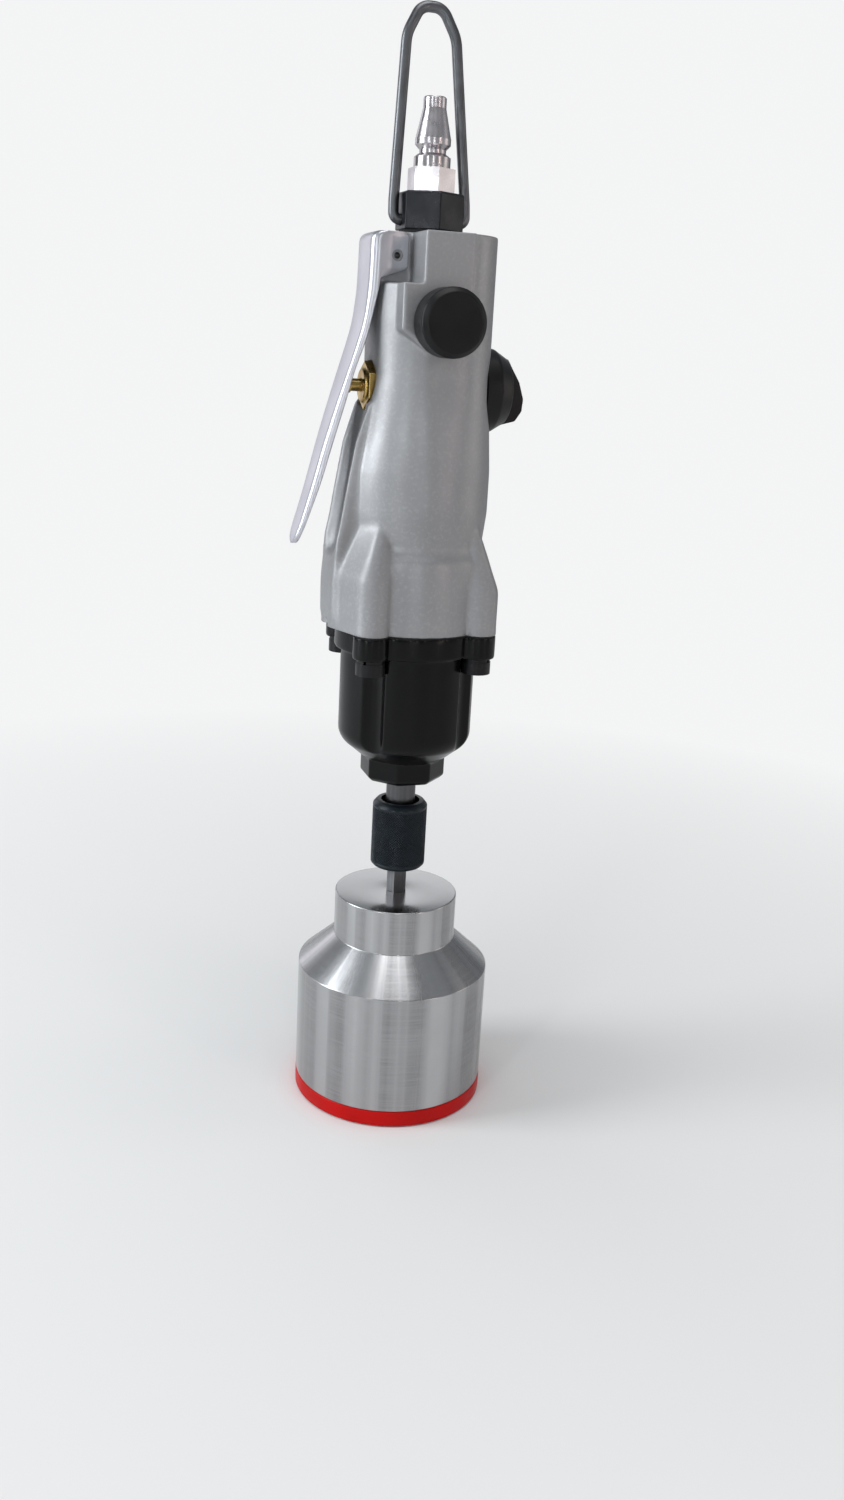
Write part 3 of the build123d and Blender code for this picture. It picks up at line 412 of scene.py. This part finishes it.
def lathe(profile, segments=160, radius_at=None):
    """A closed mesh turned from an (r, z) outline in millimetres about the spindle."""
    work = bmesh.new()
    rings = []
    for r, z in profile:
        if r < 1e-6:
            rings.append([work.verts.new((0, 0, z * MM))])
            continue
        ring = []
        for k in range(segments):
            angle = 2 * pi * k / segments
            own = r if radius_at is None else radius_at(r, z, angle)
            ring.append(work.verts.new((own * cos(angle) * MM, own * sin(angle) * MM, z * MM)))
        rings.append(ring)
    for i, ring in enumerate(rings):
        other = rings[(i + 1) % len(rings)]
        if len(ring) == 1 and len(other) == 1:
            continue
        for k in range(segments):
            after = (k + 1) % segments
            corners = [ring[k % len(ring)], ring[after % len(ring)]]
            corners += [other[after % len(other)], other[k % len(other)]]
            work.faces.new(list(dict.fromkeys(corners)))
    bmesh.ops.recalc_face_normals(work, faces=work.faces)
    mesh = bpy.data.meshes.new("turned")
    work.to_mesh(mesh)
    work.free()
    mesh.shade_smooth()
    mesh.set_sharp_from_angle(angle=radians(32))
    return mesh


# ---- the capping head ---------------------------------------------------------
def in_mm(node):
    low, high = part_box(node)
    return [c / MM for c in (*low, *high)]


def make_head():
    """The turned cup, its red lip and liner, with small radii at every edge."""
    lowest, highest = in_mm("capping_head")[2], in_mm("capping_head")[5]
    wide = in_mm("capping_head")[3]
    hub, cone_top, shoulder = 22.4, 62.0, 50.5
    stud, room, cavity, pad_top, room_top = 3.05, 12.0, 31.5, 31.0, 50.0
    outline = [
        (stud, highest),
        (hub, highest),
        (hub, cone_top),
        (wide, shoulder),
        (wide, lowest),
        (cavity, lowest),
        (cavity, pad_top),
        (room, pad_top),
        (room, room_top),
        (stud, room_top),
    ]
    finished("capping_head_cup", lathe(rounded(outline, 0.5), 256), "capping_head", "spindle")
    outer = in_mm("gripping_liner")[3]
    top, lip_top, bore, chamfer = in_mm("gripping_liner")[5], lowest, 27.0, 0.5
    lip = [
        (bore, 0.0),
        (outer, 0.0),
        (outer, lip_top),
        (cavity - 0.05, lip_top),
        (cavity - 0.05, top),
        (bore + chamfer, top),
        (bore, top - chamfer),
    ]
    finished("gripping_liner_red", lathe(rounded(lip, 0.7, 5), 192), "gripping_liner", "spindle")


def make_sleeve():
    """The chuck sleeve with a diamond knurl cut between its two chamfers."""
    low, high, wide = in_mm("chuck_sleeve")[2], in_mm("chuck_sleeve")[5], in_mm("chuck_sleeve")[3]
    knurl_low, knurl_high, depth, teeth = low + 1.5, high - 2.2, 0.32, 66
    steps_along, steps_round = 6, 8
    pitch = 2 * pi * wide / teeth
    rows = int((knurl_high - knurl_low) / pitch * steps_along)
    wall = [(wide, knurl_low + (knurl_high - knurl_low) * k / rows) for k in range(rows + 1)]
    mouth, bore, land, spring_room, land_top, land_low = 7.0, 7.95, 6.25, 8.3, 103.0, 97.0
    inner = [(mouth, high), (bore, high - 3.0), (bore, land_top), (land, land_top)]
    inner += [(land, land_low), (spring_room, land_low)]
    profile = [(spring_room, low), (wide - 0.95, low), (wide - 0.1, low + 0.85), (wide, low + 1.1)]
    profile += wall
    profile += [(wide, high - 1.9), (wide - 0.12, high - 1.5), (wide - 1.3, high - 0.1)]
    profile += [(wide - 1.6, high)]
    profile += inner

    def knurl(r, z, angle):
        if r < wide - 0.01 or not knurl_low <= z <= knurl_high:
            return r
        fade = min(1.0, (z - knurl_low) / 0.5, (knurl_high - z) / 0.5)
        rise, about = (z - knurl_low) / pitch, angle * teeth / (2 * pi)
        groove = max(abs((about + side * rise) % 1.0 - 0.5) * 2 for side in (1, -1))
        return r - depth * fade * max(0.0, groove - 0.35) / 0.65

    mesh = lathe(profile, teeth * steps_round, knurl)
    finished("chuck_sleeve_knurled", mesh, "chuck_sleeve", "chuck_sleeve_body")


# ---- the lever ----------------------------------------------------------------
def along(stations, height):
    """A smooth value at a height, from (height, value) stations in falling order."""
    heights = np.array([z for z, _ in stations][::-1])
    values = np.array([v for _, v in stations][::-1])
    reach = 3.5
    window = np.linspace(-reach, reach, 9)
    return float(np.mean(np.interp(height + window, heights, values)))


def ear_edge(z):
    """How far towards the grip the lever's ears reach at a height above its walls."""
    wall_x, ear_x, slope_z, slope, corner_z, ear_top_z = -17.5, -9.3, 292.3, 2.75, 294.9, 305.0
    corner_height = 1.2
    rise = wall_x + (z - slope_z) * slope
    round_low = ear_x - max(0.0, 1.0 - (z - corner_z) / corner_height) ** 2
    round_high = ear_x - max(0.0, z - ear_top_z)
    return min(rise, round_low if z > corner_z else rise, round_high)


def channel_loop(x_web, x_edge, half, sheet, fold, rim=0.35, turns=7):
    """One closed cross-section of the channel: outside round both folds, then back."""
    depth = x_edge - x_web
    outer = min(fold, 0.8 * half, 0.9 * depth)
    inner = max(outer - sheet, 0.4)
    floor_x, inner_half = min(x_web + sheet, x_edge - 0.2), max(half - sheet, 0.3)
    inner = min(inner, 0.8 * inner_half, 0.9 * max(x_edge - floor_x, 0.1))
    rim = min(rim, 0.3 * depth, 0.4 * (half - inner_half))

    def quarter(corner_x, corner_y, radius):
        steps = [0.5 * pi * k / turns for k in range(turns + 1)]
        return [(corner_x + radius * (1 - sin(a)), corner_y - radius * (1 - cos(a))) for a in steps]

    outside = [(x_edge, half - rim), (x_edge - 0.3 * rim, half - 0.3 * rim), (x_edge - rim, half)]
    outside += quarter(x_web, half, outer)
    inside = [(x_edge, inner_half + rim), (x_edge - 0.3 * rim, inner_half + 0.3 * rim)]
    inside += [(max(x_edge - rim, floor_x), inner_half)] + quarter(floor_x, inner_half, inner)
    mirrored = [(x, -y) for x, y in outside[::-1]]
    back = [(x, -y) for x, y in inside]
    return outside + mirrored + back + inside[::-1]


def make_lever():
    """A pressed channel: a web with rounded folds, two low walls and two ears."""
    half_top, half_tip, fold, sheet = 9.5, 6.0, 2.9, 1.7
    curl_radius, curl_most, wall_low, wall_high = 3.0, 2.95, 1.6, 4.0
    top_z, tip_z, ear_z, pin_x, pin_z = 306.2, 206.8, 290.8, -12.85, 299.1
    web = [(306.0, -21.2), (300.0, -21.2), (288.5, -21.5), (278.5, -22.6), (266.5, -26.1)]
    web += [(255.0, -29.8), (241.0, -33.9), (225.0, -38.0), (213.0, -41.4), (206.8, -43.4)]
    wall = [(290.5, -17.9), (282.0, -19.7), (273.0, -21.6), (265.0, -24.6), (254.0, -27.4)]
    wall += [(239.0, -31.6), (228.0, -34.5), (217.7, -37.9), (210.5, -40.4), (206.8, -41.6)]
    heights = list(np.linspace(top_z, 286.0, 60)) + list(np.linspace(285.6, 214.0, 90))
    heights += [tip_z + 0.05 + half_tip * (1 - cos(t)) for t in np.linspace(pi / 2, 0.0, 22)]
    work = bmesh.new()
    grid = []
    for z in heights:
        half = half_tip + (half_top - half_tip) * min(1.0, (z - tip_z) / (ear_z - tip_z))
        over = tip_z + half_tip - z
        if over > 0:
            half = max(0.9, (max(0.0, half_tip**2 - over**2)) ** 0.5)
        curl = min(max(0.0, z - (top_z - curl_radius)), curl_most)
        x_web = along(web, z) + curl_radius - (curl_radius**2 - curl**2) ** 0.5
        x_edge = x_web + min(max(along(wall, z) - x_web, wall_low), wall_high)
        if z > wall[0][0] + 1.0:
            x_edge = max(wall[0][1], ear_edge(z))
        loop = channel_loop(x_web, x_edge, half, sheet, fold)
        grid.append([work.verts.new((x * MM, y * MM, z * MM)) for x, y in loop])
    count = len(grid[0])
    for upper, lower in zip(grid, grid[1:]):
        for k in range(count):
            after = (k + 1) % count
            work.faces.new((upper[k], upper[after], lower[after], lower[k]))
    outer_count = count // 2
    for row in (grid[0], grid[-1]):
        outer_row = row[:outer_count]
        inner_row = row[outer_count:][::-1]
        for k in range(outer_count - 1):
            corners = (outer_row[k], outer_row[k + 1], inner_row[k + 1], inner_row[k])
            work.faces.new(corners)
    bmesh.ops.recalc_face_normals(work, faces=work.faces)
    mesh = bpy.data.meshes.new("sheet")
    work.to_mesh(mesh)
    work.free()
    hole = lathe([(0, -20), (1.78, -20), (1.78, 20), (0, 20)], 48)
    hole.transform(Matrix.Translation((pin_x * MM, 0, pin_z * MM)) @ Matrix.Rotation(pi / 2, 4, "X"))
    drill = bpy.data.objects.new("drill", hole)
    scene.collection.objects.link(drill)
    mesh = baked(mesh, ("BOOLEAN", {"object": drill, "operation": "DIFFERENCE", "solver": "EXACT"}))
    bpy.data.objects.remove(drill)
    mesh.shade_smooth()
    mesh.set_sharp_from_angle(angle=radians(70))
    finished("start_lever_sheet", mesh, "lever", "start_lever")


dress_cad_nodes()
make_head()
make_sleeve()
make_lever()


def housing_softness(points):
    """How far each point of the casting may soften.

    Fully low down but for the waist above the bell, and little at the top.
    """
    radius = np.hypot(points[:, 0], points[:, 1]) / MM
    height = points[:, 2] / MM
    motor_bore, motor_room_top, valve_bore, inlet_low, selector_z = 21.3, 233.0, 8.6, 262.0, 258.8
    joint_top = 179.6
    bore = (radius < motor_bore) & (height < motor_room_top)
    inlet = (radius < valve_bore) & (height > inlet_low)
    cross = np.hypot(points[:, 1] / MM, height - selector_z) < valve_bore
    joint_face = height < joint_top
    fixed = bore | inlet | cross | joint_face
    softness = np.interp(
        height,
        [joint_top, 182.0, 201.0, 204.5, 210.0, 216.0, 250.0, 290.0],
        [0.0, 1.0, 1.0, 0.3, 0.3, 1.0, 0.55, 0.12],
    )
    return np.where(fixed, 0.0, softness)


def case_softness(points):
    """The case softens outside only, less at its wrench flats."""
    radius = np.hypot(points[:, 0], points[:, 1]) / MM
    height = points[:, 2] / MM
    hammer_room, room_floor, nose_bore, joint_low, nose_top = 19.4, 145.8, 11.6, 178.0, 131.5
    inside = (radius < hammer_room) & (height > room_floor) | (radius < nose_bore)
    near_joint = height > joint_low
    return np.where(inside | near_joint, 0.0, np.where(height < nose_top, 0.5, 1.0))


softened("motor_housing", "motor_housing_cast", "housing", 0.45, 44, 0.5, housing_softness)
softened("regulator_knob", "regulator_knob_moulded", "regulator", 0.25, 6, 0.6)
softened("selector_knob", "selector_knob_moulded", "selector", 0.25, 8, 0.5)
softened("inlet_bush", "inlet_bush_hexagon", "housing", 0.2, 4, 0.4)
softened("valve_bushing", "valve_gland_brass", "housing", 0.18, 3, 0.5)
softened("hammer_case", "hammer_case_enamelled", "housing", 0.35, 12, 0.5, case_softness)


# ---- stage --------------------------------------------------------------------
def make_stage():
    """A pale floor under a surround that is pale to look at and dimmer to light by."""
    work = bmesh.new()
    bmesh.ops.create_circle(work, cap_ends=True, segments=96, radius=6.0)
    mesh = bpy.data.meshes.new("floor")
    work.to_mesh(mesh)
    work.free()
    floor = bpy.data.objects.new("floor", mesh)
    scene.collection.objects.link(floor)
    floor.location.z = -0.3 * MM
    paint = Surface("floor_paint", (0.80, 0.80, 0.795), roughness=0.75)
    paint.wear(paint.noise(4.0), 0.7, 0.85)
    paint.set("Specular IOR Level", 0.2)
    pale, paleness = (0.97, 0.975, 0.98, 1), 0.93
    glow = paint.node("ShaderNodeEmission")
    glow.inputs["Color"].default_value = pale
    glow.inputs["Strength"].default_value = paleness
    reach = paint.node("ShaderNodeVectorMath", operation="LENGTH")
    paint.link(paint.place, reach.inputs[0])
    far = paint.fit(reach.outputs["Value"], 0.0, 1.0, 0.06, 0.55)
    seen_far = paint.node("ShaderNodeMath", operation="MULTIPLY")
    paint.link(far, seen_far.inputs[0])
    paint.link(paint.node("ShaderNodeLightPath").outputs["Is Camera Ray"], seen_far.inputs[1])
    blend = paint.node("ShaderNodeMixShader")
    paint.link(seen_far.outputs["Value"], blend.inputs["Fac"])
    paint.link(paint.shader.outputs["BSDF"], blend.inputs[1])
    paint.link(glow.outputs["Emission"], blend.inputs[2])
    paint.link(blend.outputs["Shader"], paint.tree.nodes["Material Output"].inputs["Surface"])
    mesh.materials.append(paint.material)
    world = bpy.data.worlds.new("surround")
    scene.world = world
    world.use_nodes = True
    tree = world.node_tree
    ground = tree.nodes["Background"]
    ground.inputs["Color"].default_value = (0.90, 0.95, 1.0, 1)
    ground.inputs["Strength"].default_value = 0.30
    seen = tree.nodes.new("ShaderNodeBackground")
    seen.inputs["Color"].default_value = pale
    seen.inputs["Strength"].default_value = paleness
    path = tree.nodes.new("ShaderNodeLightPath")
    pick = tree.nodes.new("ShaderNodeMixShader")
    tree.links.new(path.outputs["Is Camera Ray"], pick.inputs["Fac"])
    tree.links.new(ground.outputs["Background"], pick.inputs[1])
    tree.links.new(seen.outputs["Background"], pick.inputs[2])
    tree.links.new(pick.outputs["Shader"], tree.nodes["World Output"].inputs["Surface"])


def softbox(name, turn, height, distance, width, tall, watts, tint=(1, 1, 1)):
    """An area light that faces the tool, turned about it from the camera's side."""
    light = bpy.data.lights.new(name, "AREA")
    light.shape = "RECTANGLE"
    light.size, light.size_y = width, tall
    light.energy = watts
    light.color = tint
    lamp = bpy.data.objects.new(name, light)
    scene.collection.objects.link(lamp)
    angle = radians(turn - 17.5)
    lamp.location = (distance * sin(angle), -distance * cos(angle), height)
    middle = Vector((0, 0, 0.2))
    aim = middle - lamp.location
    lamp.rotation_euler = aim.to_track_quat("-Z", "Y").to_euler()


make_stage()
scene.view_settings.view_transform = "Standard"
softbox("window", -78, 0.55, 1.1, 0.45, 1.0, 10.0, (0.93, 0.97, 1.0))
softbox("strip_left", -27, 0.40, 1.3, 0.05, 1.0, 2.4, (0.95, 0.98, 1.0))
softbox("strip_middle", 8, 0.40, 1.3, 0.03, 1.0, 1.5)
softbox("strip_right", 48, 0.35, 1.2, 0.06, 0.9, 1.3, (1.0, 0.82, 0.76))
softbox("dim_room", 95, 0.35, 1.2, 0.5, 0.9, 1.6, (1.0, 0.90, 0.84))
softbox("behind", 180, 0.43, 1.2, 0.7, 0.45, 0.7)
softbox("behind_left", -140, 0.5, 1.2, 0.5, 0.9, 1.3, (0.97, 0.95, 1.0))
softbox("top", 0, 1.35, 0.22, 0.8, 0.8, 6.0)
